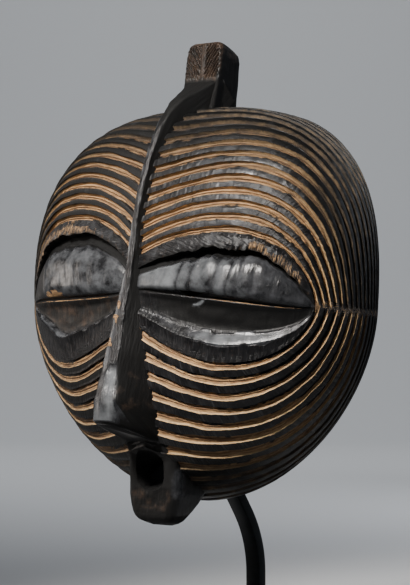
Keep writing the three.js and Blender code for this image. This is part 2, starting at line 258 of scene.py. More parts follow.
# Dome
class Dome:
    """The mask's shell, inset by a wall: a superellipse whose squareness turns with direction."""

    def __init__(self, inset):
        sizes = (HALF_WIDTH, HEIGHT_ABOVE, HEIGHT_BELOW, DEPTH)
        self.half_width, self.above, self.below, self.depth = (size - inset for size in sizes)
        self.tables = [self.arc(i / (SHAPES - 1)) for i in range(SHAPES)]

    def arc(self, above):
        """A section from the middle out to the rim, with the share of its length at each point."""
        spread = mix(PROFILE_BELOW[0], PROFILE_ABOVE[0], above)
        flat = mix(PROFILE_BELOW[1], PROFILE_ABOVE[1], above)
        angle = np.linspace(0, math.pi / 2, ARC_STEPS + 1)
        reach = np.sin(angle) ** (2 / spread)
        depth = self.depth * clamp01(np.cos(angle)) ** (2 / flat)
        depth[-1] = 0
        length = np.concatenate([[0], np.cumsum(np.hypot(np.diff(reach) * self.half_width, np.diff(depth)))])
        return length / length[-1], reach, depth

    def point(self, across, up):
        """A place of the disc laid on the shell, in millimetres."""
        across, up = np.broadcast_arrays(np.asarray(across, dtype=float), np.asarray(up, dtype=float))
        share = np.minimum(1, np.hypot(across, up) / DISC)
        angle = np.arctan2(up, across)
        cos, sin = np.cos(angle), np.sin(angle)
        power = np.where(sin >= 0, OUTLINE_ABOVE, OUTLINE_BELOW)
        height = np.where(sin >= 0, self.above, self.below)
        radius = (np.abs(cos / self.half_width) ** power + np.abs(sin / height) ** power) ** (-1 / power)
        place = smooth(0.5 + 0.75 * sin) * (SHAPES - 1)
        reach = np.zeros_like(share)
        depth = np.zeros_like(share)
        for i, (shares, reaches, depths) in enumerate(self.tables):
            weight = np.maximum(0, 1 - np.abs(place - i))
            reach += weight * np.interp(share, shares, reaches)
            depth += weight * np.interp(share, shares, depths)
        return np.stack([reach * radius * cos, -depth, reach * radius * sin], -1)

    def lifted(self, across, up, height):
        """A point lifted by height along the surface normal."""
        across, up, height = np.broadcast_arrays(*(np.asarray(v, dtype=float) for v in (across, up, height)))
        step = NORMAL_STEP
        distance = np.hypot(across, up)
        inside = np.where(distance > DISC - step, 1 - step / np.maximum(step * 2, distance), 1)
        x, y = across * inside, up * inside
        along_x = self.point(x + step, y) - self.point(x - step, y)
        along_y = self.point(x, y + step) - self.point(x, y - step)
        normal = np.cross(along_x, along_y)
        normal /= np.linalg.norm(normal, axis=-1, keepdims=True)
        return self.point(across, up) + normal * height[..., None]


outer = Dome(0)
inner = Dome(WALL)


# Lines drawn on the disc that is laid over the dome
def eye_column(t, face):
    """Places across an eye from the nose outwards, closer together at the far end."""
    return face.reach * mix(t, np.sin(t * math.pi / 2), 0.45)


def arch_to(corner, peak, share):
    """A line that starts flat at its peak and turns steeply into the corner."""
    return corner + (peak - corner) * (1 - clamp01(share) ** 2.4) ** 0.6


def brow_line(across, face):
    u = across / face.reach
    peak = face.brow_peak
    rising = peak - (peak - BROW_START) * clamp01(1 - u / 0.5) ** face.brow_rise
    return np.where(u < 0.5, rising, arch_to(face.corner, peak, (u - 0.5) / 0.5))


def cheek_line(across, face):
    u = across / face.reach
    falling = CHEEK_PEAK + (CHEEK_START - CHEEK_PEAK) * clamp01(1 - u / 0.55) ** 1.5
    return np.where(u < 0.55, falling, arch_to(face.corner, CHEEK_PEAK, (u - 0.55) / 0.45))


def slit_line(across, face):
    u = across / face.reach
    slit = face.slit
    even = mix(slit[0], slit[1], u) + (SLIT_START - slit[0]) * clamp01(1 - u) ** 8
    return mix(even, face.corner, clamp01(u) ** 12)


def band_place(part, t, above):
    """How far out a part of all the grooves lies: they crowd towards the rim, most at the temple."""
    even = clamp01(0.8 * part + 0.2 * part * part if above else part)
    crowd = 0.6 * past(t, 0.1, 0.7)
    swell = 0 if above else 0.4 * np.sin(math.pi * t)
    return 1 - (1 - even) ** (1 + crowd + swell * even)


def band_point(part, t, above, face, rows_left=0):
    """The same as a place of the disc, between the eye's edge and the rim."""
    across = eye_column(t, face)
    up = brow_line(across, face) if above else cheek_line(across, face)
    seam = math.degrees(face.corner / DISC) + (SEAM_HALF if above else -SEAM_HALF)
    angle = np.radians(mix(90 if above else -90, seam, t))
    share = np.minimum(band_place(part, t, above), 1 - rows_left * CLOSEST_ROWS)
    return mix(across, DISC * np.cos(angle), share), mix(up, DISC * np.sin(angle), share)


class Skin:
    """Loose surfaces that close into one body. A row is its points and their marks."""

    def __init__(self):
        self.points = []
        self.marks = []
        self.faces = []
        self.count = 0

    def add(self, points, marks):
        start = self.count
        self.points.append(np.array(points, dtype=float))
        self.marks.append(np.broadcast_to(marks, (len(points), len(MARKS))))
        self.count += len(points)
        return start

    def grid(self, rows, around=False):
        """Rows of points with their marks, joined by quads; around closes each row on itself."""
        starts = [self.add(*row) for row in rows]
        columns = len(rows[0][0])
        for a, b in zip(starts, starts[1:]):
            for j in range(columns if around else columns - 1):
                k = (j + 1) % columns
                self.faces.append((a + j, a + k, b + k, b + j))

    def capped(self, rows, low=0, high=0):
        """A body of closed rows with a cap at both ends, whose marks are low and high."""
        self.grid(rows, around=True)
        for ring, marks in ((rows[0][0], low), (rows[-1][0], high)):
            start = self.add(ring, marks)
            self.faces.append(tuple(range(start, start + len(ring))))
        return self

    def ladder(self, first, second, marks):
        """Closes the wedge between two chains that start and end together."""
        a = self.add(first, marks)
        b = self.add(second, marks)
        i = j = 0
        while i + 1 < len(first) or j + 1 < len(second):
            behind = (i + 1) * (len(second) - 1) <= (j + 1) * (len(first) - 1)
            if j + 1 >= len(second) or (i + 1 < len(first) and behind):
                self.faces.append((a + i, a + i + 1, b + j))
                i += 1
            else:
                self.faces.append((a + i, b + j + 1, b + j))
                j += 1

    def all_points(self):
        return in_row_frame(np.vstack(self.points))

    def all_marks(self):
        return np.vstack(self.marks)

    def body(self, name, leaning=True):
        """One closed object, its seams welded and its faces turned out."""
        mesh = bpy.data.meshes.new(name)
        points = self.all_points() if leaning else np.vstack(self.points) * MM
        mesh.from_pydata(points.tolist(), [], self.faces)
        work = bmesh.new()
        work.from_mesh(mesh)
        bmesh.ops.remove_doubles(work, verts=work.verts, dist=SAME_POINT)
        bmesh.ops.recalc_face_normals(work, faces=work.faces)
        work.to_mesh(mesh)
        work.free()
        return placed(name, mesh)


def marks_of(**values):
    marks = np.zeros(np.broadcast_shapes(*map(np.shape, values.values())) + (len(MARKS),))
    for name, value in values.items():
        marks[..., MARKS.index(name)] = value
    return marks


# Grooved field over or under one eye
RIM_STEPS = ((0, 0), (0.5, 0.9), (2.2, 1.5))     # inwards and back from the outer edge
BAND_PITCH = 9               # a usual width of a groove with its band
FAR_BAND_SHADE = 1.5           # painted shade that darkens the bands on the far side and hides their sheen


def bareness(t, part, above, face):
    """How bare a groove is, and how dark: darker at the top, the chin, the temples and the far cheek, with a
    painted shadow under the nose.
    """
    seen = 1 if face.side > 0 else 0.6
    temple = seen * past(t, 0.35, 0.3) * past(part, 0.18 if above else 0.5, 0.25)
    if above:
        bare = 0.5 * (1 - 0.5 * seen * past(t, 0.5, 0.4)) * (1 - 0.55 * past(part, 0.35, 0.35))
        top = 0.06 + 0.42 * past(part, 0.2, 0.26) + 0.5 * past(part, 0.42, 0.2)
        return bare, np.maximum(top, temple)
    bare = (0.3 + 0.2 * seen) * (1 - 0.6 * past(t, 0.35, 0.5)) * (1 - 0.5 * past(part, 0.45, 0.4))
    # Painted shadow of the nose: no bare wood and painted shade under it
    nose_shadow = until(t, 0.1, 0.03) * past(part, 0.45, 0.06)
    # Darker towards the chin and on the far side
    darkening = past(part, 0.45, 0.3) + 0.9 * (1 - seen)
    return bare * (1 - nose_shadow), most(darkening, 0.8 * temple, nose_shadow)


def torn_edge(seed, fine_seed, along, step):
    """How far a groove's edge strays, as a share of the pitch."""
    return 0.055 * wander(seed, along, step) + 0.015 * wander(fine_seed, along, 5)


def groove_field(face, above):
    count = GROOVES_ABOVE if above else GROOVES_BELOW
    cut = CUT_ABOVE if above else CUT_BELOW
    groove_depth = GROOVE_DEPTH * (1 if above else DEPTH_BELOW)
    profile = [(share * cut, share / 2, depth) for share, depth in (OVER_STEPS if above else UNDER_STEPS)]
    profile += [(cut + share * (1 - cut), 0.5 + share / 2, height) for share, height in BAND_STEPS]
    t = np.linspace(0, 1, COLUMNS + 1)
    hold = past(t, 0, 0.04) * until(t, 1, 0.03)
    along = t * BAND_LENGTH
    rows = []
    for i in range(count):
        seed = face.seed * 100 + (0 if above else 50) + i
        near_edge = torn_edge(seed, seed + 7000, along, 14) * hold * (i > 0)
        far_edge = torn_edge(seed + 8000, seed + 9000, along, 16) * hold
        next_edge = torn_edge(seed + 1, seed + 7001, along, 14) * hold * (i + 1 < count)
        deep = 1 + 0.16 * wander(seed + 5000, along, 21) * hold
        start = band_point(i / count, t, above, face)
        end = band_point((i + 1) / count, t, above, face)
        pitch = np.hypot(end[0] - start[0], end[1] - start[1])
        streaky = 1 + 0.25 * wander(seed + 3000, along, 18) + 0.15 * wander(seed + 4000, along, 3)
        for share, lane, height in profile:
            if lane < 0.5:
                shift = mix(near_edge, far_edge, smooth(share / cut))
            else:
                shift = mix(far_edge, next_edge, smooth((share - cut) / (1 - cut)))
            part = (i + share + shift) / count
            across, up = band_point(part, t, above, face, count * len(profile) - len(rows))
            facets = 0.2 * dimples(seed % 97, along, np.full_like(along, share * 10), 4.2, 2)
            lift = height * deep * groove_depth + facets * hold * (i + share > 0)
            lift = lift * clamp01(pitch / NARROW_PITCH) * until(t, 1, 0.012)
            raw, grime = bareness(t, part, above, face)
            # Painted shade on the far side's bands
            if lane >= 0.5 and face.side < 0:
                grime = np.maximum(grime, FAR_BAND_SHADE)
            # Polish with a painted sheen on the forehead's bands of the viewer's side
            sheen_and_polish_patch = near(t, 0.36, 0.3) * until(part, 0.62, 0.3) * (0.5 + 0.5 * wander(seed + 6000, along, 12))
            rows.append((outer.lifted(across, up, lift) * (face.side, 1, 1), marks_of(
                lane=i + lane, raw=raw * streaky * clamp01(pitch / 0.8), grime=grime, along=along,
                burnish=0.14 + 0.9 * sheen_and_polish_patch * (above and face.side > 0), across=part * count * BAND_PITCH,
            )))
    rim = outer.point(*band_point(1.0, t, above, face))
    radius = np.linalg.norm(rim, axis=-1, keepdims=True)
    for inset, back in RIM_STEPS:
        worn = marks_of(lane=count, burnish=0.4, brown=0.5, along=along, across=count * BAND_PITCH + inset)
        rows.append(((rim * (1 - inset / radius) + (0, back, 0)) * (face.side, 1, 1), worn))
    rows.append((np.zeros_like(rim) + (0, RIM_STEPS[-1][1], 0), marks_of(lane=count, brown=0.6, inside=0.5)))
    return rows


# Eye. Its rows run through keys, from the cheek's edge up to the brow's edge, and a level counts the keys:
# 0 to 3 is the worn rim, to 6 the socket's scoop, to 9 the lip and the slit, to 12 the bulging lid with its
# gouge flutes, to 15 the gap over it, and to 16 the notched brow
EYE_STEPS = [2, 2, 3, 2, 7, 4, 2, 2, 2, 4, 5, 4, 3, 2, 4, 4]
FLUTE = 12                   # from one gouge flute of the lid to the next, in disc units
NOTCH = 4.6                  # from one notch of the brow to the next
BROW_WIDTH = 8.5
GAP_WIDTH = 5
# The far eye's lower rim makes a V: places along the eye, and its share of the way down to the cheek
FAR_RIM = (
    [0, 0.06, 0.1, 0.22, 0.35, 0.5, 0.6, 0.66, 0.75, 0.85, 1],
    [0.54, 0.36, 0.33, 0.44, 0.5, 0.55, 0.58, 0.55, 0.42, 0.33, 0.25],
)
CHIP = SimpleNamespace(start=0.3, end=0.48, drop=4.6)


def chip_drop(u, face):
    """How far the chip in the viewer's eye widens the slit downwards."""
    return CHIP.drop * past(u, CHIP.start, 0.05) * until(u, CHIP.end, 0.12) * (face.side > 0)


def keyed_rows(places, heights, steps):
    """Rows through keyed places, with heights on curves that never swing past a key."""
    gaps = np.diff(places, axis=0)
    rise = np.diff(heights, axis=0) / np.where(np.abs(gaps) < 1e-6, 1e-6, gaps)
    slope = np.zeros_like(heights)
    product = rise[:-1] * rise[1:]
    slope[1:-1] = np.where(product > 0, 2 * product / np.where(product > 0, rise[:-1] + rise[1:], 1), 0)
    rows = []
    for k, count in enumerate(steps):
        for share in np.arange(count) / count:
            squared, cubed = share ** 2, share ** 3
            height = (
                (2 * cubed - 3 * squared + 1) * heights[k]
                + (cubed - 2 * squared + share) * gaps[k] * slope[k]
                + (3 * squared - 2 * cubed) * heights[k + 1] + (cubed - squared) * gaps[k] * slope[k + 1]
            )
            rows.append((k + share, mix(places[k], places[k + 1], share), height))
    rows.append((len(steps), places[-1], heights[-1]))
    return rows


def eye_keys(face, across, u, full):
    """Places up the eye and heights there, key by key."""
    brow, cheek, slit = brow_line(across, face), cheek_line(across, face), slit_line(across, face)
    tall = np.maximum(brow - slit, 0.01)
    seed = face.seed
    ragged = 1.3 * wander(seed + 8, across, 6.5) + 0.8 * wander(seed + 9, across, 2.6)
    if face.side > 0:
        rim_in = 0.64 - 0.1 * clamp01(1 - u / 0.3)
        brow_width = BROW_WIDTH + ragged * full
        gap = GAP_WIDTH * (1 - 0.65 * past(u, 0.4, 0.5))
        bulge = LID_BULGE
        scoop = 0.8, 0.69
    else:
        start = past(u, 0, 0.08)
        rim_in = np.interp(u, *FAR_RIM)
        brow_width = (BROW_WIDTH + 0.5 * ragged * full) * (1 - 0.07 * start)
        gap = GAP_WIDTH * (1 + 0.5 * past(u, 0, 0.12) - 0.8 * past(u, 0.6, 0.4))
        bulge = LID_BULGE * (1 - 0.65 * past(u, 0.6, 0.3))
        scoop = mix(0.8, 0.95, start), mix(0.69, 0.8, start)
    rim_in = rim_in + 0.012 * wander(seed + 1, across, 16) * full
    lip_over = 1 - np.minimum(brow_width, 0.42 * tall) / tall
    lid = lip_over - np.minimum(gap, 0.2 * tall) / tall
    below = [
        (rim_in + 0.15, 0.3), (rim_in + 0.05, 1.8), (rim_in * scoop[0], -SOCKET_DEPTH * 0.95),
        (rim_in * scoop[1], -SOCKET_DEPTH), (0.14, -SOCKET_DEPTH * 0.75), (0.04, -1.8), (0.01, -3.2),
    ]
    over = [
        (0.012, -2.8), (0.04, 1.4), (lid * 0.26, bulge * 0.95), (lid * 0.74, bulge * 0.66), (lid, -1.6),
        (lid + 0.35 * (lip_over - lid), -6.5), (lid + 0.93 * (lip_over - lid), -6), (lip_over, 2.2),
    ]
    places = [cheek] + [mix(slit, cheek, share) for share, _ in below]
    places += [mix(slit, brow, share) for share, _ in over] + [brow]
    heights = [0] + [height for _, height in below + over] + [0]
    return np.array(places), np.array([height * full for height in heights])


def eye_wear(face, across, u, level, place, flute):
    """How polished the rim, the lid and the brow are, with painted highlights on the rims, the lids and the
    chip's broken face, and where the chip has broken the lip away.
    """
    seed = face.seed
    on_rim = level + 0.3 * wander(seed + 12, across, 6)
    if face.side > 0:
        fade = 0.3 + 0.9 * until(u, 0.5, 0.3)
        # Polish on the socket's rim, partly a painted highlight
        rim = past(on_rim, 1.6, fade) * until(on_rim, 2.8 + fade, fade)
        rim = rim * (0.6 + 1.4 * past(u, 0.36, 0.12) * until(u, 0.9, 0.15))
        # Painted highlights on the lid's flute crests, with some wear there
        flute_wear_and_sheen = 0.75 * flute * past(u, 0.15, 0.1) * until(u, 0.8, 0.3)
        lid = 0.85 + 0.9 * until(u, 0.35, 0.2) + flute_wear_and_sheen
    else:
        rim = 1.5 * past(on_rim, 2, 0.3) * until(on_rim, 2.9, 0.3)
        # Polish and a painted highlight on the far lid
        lid = 1.15 * until(u, 0.82, 0.12)
    rim = rim * past(u, 0.02, 0.05) * (0.85 + 0.3 * dimples(seed + 13, across, place, 8, 4))
    lid = lid * past(level, 8.8, 0.3) * until(level, 12.3, 0.6)
    chip = chip_drop(u, face)
    under_chip = slit_line(across, face) - place - chip
    # The chip's broken face is painted pale, partly as bare wood and partly as a painted highlight
    broken = near(under_chip, 1.9, 2) * past(chip, 0, 1.2) * past(u, 0.36, 0.03)
    broken = past(broken * (0.8 + 0.4 * wander(seed + 14, across, 2)), 0.3, 0.3)
    brow = 0.3 * past(level, 15, 0.3)
    return most(rim, 2.2 * broken, lid, brow) * past(u, 0, 0.08), broken


def eye_marks(face, across, u, level, place, flute, strong, notched):
    """Bare wood on the slit's lip and in ticks over the brow, painted shade in the socket's scoop, the slit
    and the gap under the brow, polish and painted highlights on what stands out.
    """
    seed = face.seed
    viewer = face.side > 0
    burnish, broken = eye_wear(face, across, u, level, place, flute)
    lip = near(level, 6.35, 0.4) * past(u, 0.46 if viewer else 0.15, 0.03) * until(u, 0.96, 0.03)
    lip = lip * past(wander(seed + 15, across, 4), -0.9, 0.5)
    tick = past(level, 14.1, 0.3) * until(level, 15.4 + 0.7 * strong, 0.4) * past(strong, 0, 0.4)
    tick = tick * past(u, 0.5 if viewer else 0.15, 0.15) * until(u, 0.97, 0.05)
    crumbs = 0 if viewer else near(u, 0.64, 0.16) * near(level, 9.2, 0.8)
    crumbs = crumbs * past(dimples(seed + 16, across, place, 3, 2.5), -0.4, 0.4)
    torn = clamp01(1.6 * np.maximum(lip, crumbs))
    # Painted shade in the socket's scoop (lighter near the nose on the viewer's eye), in the slit and in the
    # gap under the brow
    soft = 1.1 * until(u, 0.45, 0.3) if viewer else 0
    scoop = past(level, 3.1, 0.5 + soft) * until(level, 6.2, 0.3) * (1 - 0.6 * soft * until(u, 0.25, 0.15))
    slit = past(level, 6.7, 0.3) * until(level, 8.7, 0.4)
    gap = past(level, 12, 0.5) * until(level, 15.1, 0.2)
    over_brow = level > 13.9
    return marks_of(
        lane=np.maximum(0.4 * torn, 0.33 * tick), raw=np.maximum(0.5 * torn, 0.195 * tick),
        brown=np.maximum(0.8 * notched, 0 if viewer else 0.37 * scoop), burnish=burnish,
        grime=most(scoop * (1 - broken), slit, 2 * gap) * (1 - torn),
        along=place * 1.3 + 0.5 * across if over_brow else across * 1.3,
        across=(across if over_brow else place) * 1.3,
    )


def eye_field(face):
    t = np.linspace(0, 1, COLUMNS + 1)
    across = eye_column(t, face)
    u = across / face.reach
    full = np.sin(math.pi * clamp01((u - 0.02) / 0.965)) ** 0.6
    full[-1] = 0
    seed = face.seed
    viewer = face.side > 0    # the eye towards the viewer is the more heavily carved one
    phase = across / FLUTE + 0.45 * wander(seed + 2, across, 17)
    flute = np.abs(np.sin(phase * math.pi)) ** 0.8
    fluted = 2 * past(u, 0.22, 0.15) * until(u, 0.95, 0.2) if viewer else 0.25
    stroke = across / NOTCH + 0.7 * wander(seed + 3, across, 7)
    outwards = 0.2 + 0.6 * past(u, 0.4, 0.15) if viewer else 0.7
    strong = clamp01(0.3 + 0.7 * wander(seed + 4, across, NOTCH) + outwards)
    rows = []
    for level, place, height in keyed_rows(*eye_keys(face, across, u, full), EYE_STEPS):
        on_lid = past(level, 9.2, 0.8) * until(level, 11.9, 0.8)
        on_brow = past(level, 14.6, 0.4) * clamp01((15.7 - level) / 0.5)
        on_socket = past(level, 3, 1) * until(level, 6, 0.6)
        slant = 0.5 * (level - 15)
        notch = clamp01(1 - np.abs(((stroke - slant) % 1) - 0.5) / 0.22) * strong
        relief = (
            on_lid * (flute - 0.6) * fluted * (0.75 + 0.5 * wander(seed + 5, across, 30))
            + on_lid * 0.5 * dimples(seed + 10, across, place, 5.5, 7)
            - on_brow * notch * 2.8
            + on_socket * 0.4 * dimples(seed + 6, across, place, 7, 5)
            + 0.2 * dimples(seed + 7, across, place, 5, 4)
        ) * clamp01(level / 0.5) * clamp01((len(EYE_STEPS) - level) / 0.3)
        marks = eye_marks(face, across, u, level, place, flute, strong, on_brow * notch)
        rows.append((outer.lifted(across, place, height + relief * full) * (face.side, 1, 1), marks))
    return rows


def dome_skin():
    skin = Skin()
    for face in SIDES:
        fields = [groove_field(face, True), groove_field(face, False), eye_field(face)]
        for rows in fields:
            skin.grid(rows)
        seam = [[points[-1] for points, _ in rows] for rows in fields[:2]]
        skin.ladder(*seam, marks_of(lane=0.4, raw=0.5, grime=0.4))
    return skin


def hollow_skin():
    """The inside, cut with an adze that leaves shallow facets."""
    around = 120
    angle = np.linspace(0, 2 * math.pi, around, endpoint=False)
    inside = marks_of(inside=1)
    rows = []
    for share in np.concatenate([np.linspace(0.02, 0.9, 30), np.linspace(0.92, 1, 6)]):
        x, z = DISC * share * np.cos(angle), DISC * share * np.sin(angle)
        facet = dimples(300, x + 500, z + 500, 21, 15) + 0.35 * dimples(301, x + 500, z + 500, 7, 6)
        marks = marks_of(inside=1, along=angle * 100, across=share * DISC)
        rows.append((inner.lifted(x, z, 0.9 * facet * until(share, 1, 0.05)), marks))
    edge = inner.point(DISC * np.cos(angle), DISC * np.sin(angle))
    radius = np.linalg.norm(edge, axis=-1, keepdims=True)
    worn = marks_of(inside=1, burnish=0.3, brown=0.5, along=angle * 100, across=185)
    for flare, back in ((0.4, 0.7), (1.5, 1.5), (3, 4)):
        rows.append((edge * (1 + flare / radius) + (0, back, 0), worn))
    return Skin().capped(rows, inside, inside)


# Ridge and nose
RIDGE_RINGS = 84
RIDGE_EASE = 0.9             # the ridge is a little wider than its rows say
NOSE_TURN = 3.2              # how far the nose's front is shifted, in millimetres


def through(rows, places):
    """Rows of numbers at places along a smooth line through them."""
    rows = np.vstack([2 * rows[0] - rows[1], rows, 2 * rows[-1] - rows[-2]])
    index = np.minimum(places.astype(int), len(rows) - 4)
    s = (places - index)[:, None]
    a, b, c, d = (rows[index + k] for k in range(4))
    return b + 0.5 * s * (c - a + s * (2 * a - 5 * b + 4 * c - d + s * (3 * (b - c) + d - a)))


def ridge_section(half_front, half_foot, root, round_edge, crown):
    """Across and inward places of one section, from the left foot over the front to the right foot."""
    side = np.array([half_foot - half_front, root])
    side = side / np.linalg.norm(side)
    start, corner = np.array([half_front - round_edge, 0]), np.array([half_front, 0])
    finish = corner + side * round_edge
    turn = (0, 0.25, 0.5, 0.75, 1)
    right = [(1 - s) ** 2 * start + 2 * s * (1 - s) * corner + s * s * finish for s in turn]
    right += [mix(finish, np.array([half_foot, root]), s) for s in (0.2, 0.42, 0.7, 1)]
    right = np.array(right)
    return np.vstack([right[::-1] * np.array([-1, 1]), [(0, -crown)], right])


def nose_turn(aside, half_front):
    """The nose's front is turned a little to its own right, and is fuller there."""
    return NOSE_TURN * (np.minimum(aside, 0) / half_front - 0.5)


def ridge_marks(section, height, half_front):
    """Polish and a painted highlight on the left edge, a painted highlight on the nose's front, splinters by
    the far eye, painted shade on the sides and up by the crest.
    """
    aside, inward = section.T
    leftward = -aside / half_front
    front = smooth(1 - inward / 2.5)
    nose = until(height, -48, 25)
    crest = past(height, 140, 40)
    shaded = until(height, -40, 20) * past(aside, half_front - 1.5, 1.5)
    # Painted highlight on the right part of the nose's front
    glint = past(aside, -4, 5) * until(height, -34, 15)
    glint = glint * (0.8 + 0.4 * wander(406, height, 9))
    # Polish with a painted highlight on the ridge's left edge
    polish_and_sheen = mix(0.3 + 0.9 * past(leftward, 0.4, 0.3), 0.7 + 2.6 * glint, nose)
    chips = past(wander(404, height, 2.3) + 0.6 * wander(405, height + 3 * aside, 5), 0, 0.3)
    torn = chips * past(leftward, 0.2, 0.2) * until(height, 10, 8) * past(height, -52, 8)
    # Painted shade on the sides, on the nose's right side and on the ridge up by the crest
    in_shade = (1 - front) * (1 - 0.5 * nose) + np.maximum(crest, shaded)
    return marks_of(
        lane=0.4 * torn, raw=0.5 * torn, burnish=front * polish_and_sheen * (1 - crest) * (1 - shaded),
        brown=0.3 * (1 - front) * nose, grime=np.minimum(2, 1.6 * in_shade), along=aside + inward, across=height,
    )


def ridge_skin():
    stations = through(RIDGE, np.linspace(0, len(RIDGE) - 1, RIDGE_RINGS))
    rings = []
    for i, (forward, height, half_front, half_foot, root) in enumerate(stations):
        before, after = stations[max(0, i - 1)], stations[min(len(stations) - 1, i + 1)]
        inward = np.array([before[1] - after[1], after[0] - before[0]])
        inward = inward / np.linalg.norm(inward)
        upper = past(height, -10, 30)
        lower = until(height, -30, 30)
        nick = 0.45 * wander(400, height, 7) + 0.3 * wander(401, height, 2.8) + RIDGE_EASE * upper
        edge = min(0.8 * half_front, 2.2 + 4.5 * until(height, -40, 40))
        crown = 0.4 + 0.24 * half_front * lower
        section = ridge_section(half_front + nick, half_foot + nick + 3 * upper, root, edge, crown)
        section[len(section) // 2, 0] = -0.1 * half_front * lower
        turned = until(height, 30, 60) * past(height, -112, 20) * smooth(1 - section[:, 1] / 14)
        section[:, 0] += turned * nose_turn(section[:, 0], half_front)
        section[:, 1] += 0.5 * dimples(403, section[:, 0] + 50, height, 4, 5) * (section[:, 1] < root - 1)
        x = section[:, 0] + 0.6 * wander(402, height, 34)
        ring = np.stack([x, forward + section[:, 1] * inward[0], height + section[:, 1] * inward[1]], -1)
        rings.append((ring, ridge_marks(section, height, half_front)))
    for back, down, narrow in ((0, 0, 0), (0.8, 2, 1.0), (3.2, 3.6, 2.4)):
        section = ridge_section(NOSTRIL.half_front - narrow, NOSTRIL.half_foot - narrow, 1, 6, 3)
        depth = clamp01(section[:, 1])
        section[:, 0] += (1 - depth) * nose_turn(section[:, 0], NOSTRIL.half_front)
        y = mix(NOSTRIL.forward + back, NOSTRIL.root_forward, depth) + np.minimum(section[:, 1], 0)
        z = mix(NOSTRIL.height - down, NOSTRIL.root_height - 0.3 * down, depth)
        # Painted highlight on the front of the nose's tip, painted shade on its underside
        front = (1 - depth) * (down < 1) * until(section[:, 0], 11, 3)
        rings.append((np.stack([section[:, 0], y, z], -1), marks_of(
            burnish=1.8 * front, grime=2 - 2 * front, along=section[:, 0], across=NOSTRIL.height,
        )))
    return Skin().capped(rings)


def rounded(half_width, half_height, corner, steps, flare=0, start=0):
    """Outline of a rectangle with rounded corners, flared outwards, from the start angle on."""
    outline = []
    for quarter in range(4):
        middle = start + (quarter + 0.5) * math.pi / 2
        x = math.copysign(half_width - corner, math.cos(middle))
        y = math.copysign(half_height - corner, math.sin(middle))
        for i in range(steps + 1):
            angle = start + (quarter + i / steps) * math.pi / 2
            outline.append((x + (corner + flare) * math.cos(angle), y + (corner + flare) * math.sin(angle)))
    return outline


# Blocks: a rounded plan swept down through the rows
REAR_EASE = 1.5              # the blocks' back corners, cut off at a slant


def plan(half, front, back, ease, across_front, along_side):
    """Plan of a block from its left front corner round to its left back corner, with each point's face: 0 the
    front, 1 a side, 2 the back."""
    corner = [(math.sin(a), math.cos(a)) for a in np.linspace(0, math.pi / 2, 5)[1:-1]]
    front_row = [(x, front, 0) for x in np.linspace(-half + ease, half - ease, across_front)]
    right_corner = [(half - ease + ease * s, front + ease - ease * c, 0.5) for s, c in corner]
    left_corner = [(-x, y, face) for x, y, face in right_corner[::-1]]
    right = [(half, y, 1) for y in np.linspace(front + ease, back - REAR_EASE, along_side)]
    left = [(-half, y, 1) for y in np.linspace(back - REAR_EASE, front + ease, along_side)]
    rear = [(half - 0.5, back - 0.5, 2), (half - REAR_EASE, back, 2), (0, back, 2)]
    rear += [(-half + REAR_EASE, back, 2), (-half + 0.5, back - 0.5, 2)]
    return np.array(front_row + right_corner + right + rear + left + left_corner)


def block_skin(rows, heights, across_front, along_side, relief):
    """relief(x, y, z, face) gives how far a point stands out, and its marks."""
    table = np.array(sorted(rows), dtype=float)
    rings = []
    for height in heights:
        front, back, half, drop, ease = (np.interp(height, table[:, 0], table[:, k]) for k in range(1, 6))
        x, y, face = plan(half, front, back, ease, across_front, along_side).T
        z = height - drop * clamp01((y - front) / (back - front)) ** 2
        out, found = relief(x, y, z, face)
        aside = np.sign(x) * clamp01(face) * (face < 2)
        direction = np.stack([aside, (face == 2) - clamp01(1 - face), np.zeros_like(x)], -1)
        rings.append((np.stack([x, y, z], -1) + direction * out[:, None], found))
    return Skin().capped(rings, rings[0][1], rings[-1][1])


HATCH = 5.2                  # from one slanted cut to the next
CREST_BAND = 2.4             # half the plain band's width


def crest_relief(x, y, z, face):
    """A plain upright band down the front with slanted cuts on both sides, and adze facets on the sides.
    Painted shade lies on the sides, low on the front and in the cuts.
    """
    stroke = ((z - 1.5 * np.abs(x)) / HATCH + 0.3 * dimples(410, x + 60, z, 6, 9)) % 1
    cut = clamp01(1 - np.abs(stroke - 0.5) / 0.28) * past(np.abs(x), CREST_BAND, 1.2)
    band_edge = np.exp(-((np.abs(x) - CREST_BAND) / 0.8) ** 2)
    high = past(z, 203, 6) * until(z, 238.5, 2)
    front = clamp01(1 - face)
    facets = 0.45 * dimples(411, x + y + 90, z, 9, 12) + 0.2 * dimples(412, x + y + 90, z, 3, 4)
    out = -front * high * (1.7 * cut + 0.8 * band_edge) + facets * mix(1, 0.4, front)
    worn = front * past(z, 200, 12) + 0.35 * (1 - front) * past(z, 215, 14)
    # Painted shade on the sides and low on the front
    painted_shade = np.maximum(1 - front, until(z, 212, 10))
    # The cuts lose their brown and take painted shade
    dry = np.maximum(worn, past(z, 236, 3)) * (1 - 0.7 * np.maximum(cut, 0.6 * band_edge) * high * front)
    return out, marks_of(
        brown=dry, burnish=0.15 * front * (1 - painted_shade), grime=np.maximum(2 * painted_shade, 1.6 * cut * high),
        along=x + y, across=z,
    )


